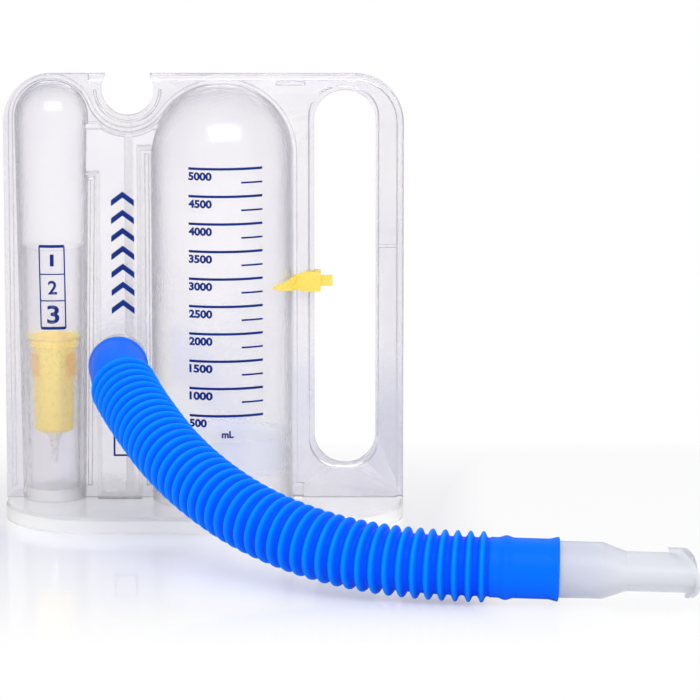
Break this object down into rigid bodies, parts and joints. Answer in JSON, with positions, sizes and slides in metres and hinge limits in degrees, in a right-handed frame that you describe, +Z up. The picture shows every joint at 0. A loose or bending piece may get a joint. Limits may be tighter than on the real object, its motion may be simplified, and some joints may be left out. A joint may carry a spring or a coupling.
{
  "type": "incentive spirometer",
  "caption": "Handheld breathing exerciser: clear twin-tube housing with float and piston, sliding goal pointer, finger grip, wide foot, corrugated hose and mouthpiece.",
  "frame": {"origin": "middle of the foot's underside, in the plane where the two housing halves meet", "axes": "+Z up along the tubes; the front, with the hose port, faces -Y; the grip is on +X and the flow tube on -X"},
  "size_m": [0.2799, 0.2395, 0.1865],
  "materials": {
    "clear_shell": "gloss, clear styrene",
    "clear_foot": "gloss, clear styrene",
    "clear_meter": "gloss, clear styrene",
    "float_yellow": "translucent yellow",
    "stem_white": "translucent white",
    "piston_milky": "milky translucent",
    "pointer_yellow": "gloss yellow",
    "hose_blue": "semi gloss blue polyethylene",
    "mouth_milky": "milky translucent"
  },
  "bodies": {
    "housing": {"front_housing": "clear_shell", "rear_housing": "clear_shell", "base_foot": "clear_foot", "metering_tube": "clear_meter", "hose_cuff_housing": "hose_blue", "hose_tube": "hose_blue", "hose_cuff_mouthpiece": "hose_blue", "mouthpiece": "mouth_milky"},
    "float": {"flow_float": "float_yellow", "float_stem": "stem_white"},
    "piston": {"volume_piston": "piston_milky"},
    "pointer": {"goal_pointer": "pointer_yellow"}
  },
  "joints": [
    {"name": "float_rise", "type": "slide", "parent": "housing", "child": "float", "axis": [0, 0, 1], "range_m": [0, 0.1]},
    {"name": "piston_rise", "type": "slide", "parent": "housing", "child": "piston", "axis": [0, 0, 1], "range_m": [0, 0.12]},
    {"name": "pointer_slide", "type": "slide", "parent": "housing", "child": "pointer", "axis": [0, 0, 1], "range_m": [-0.06, 0.063]}
  ]
}
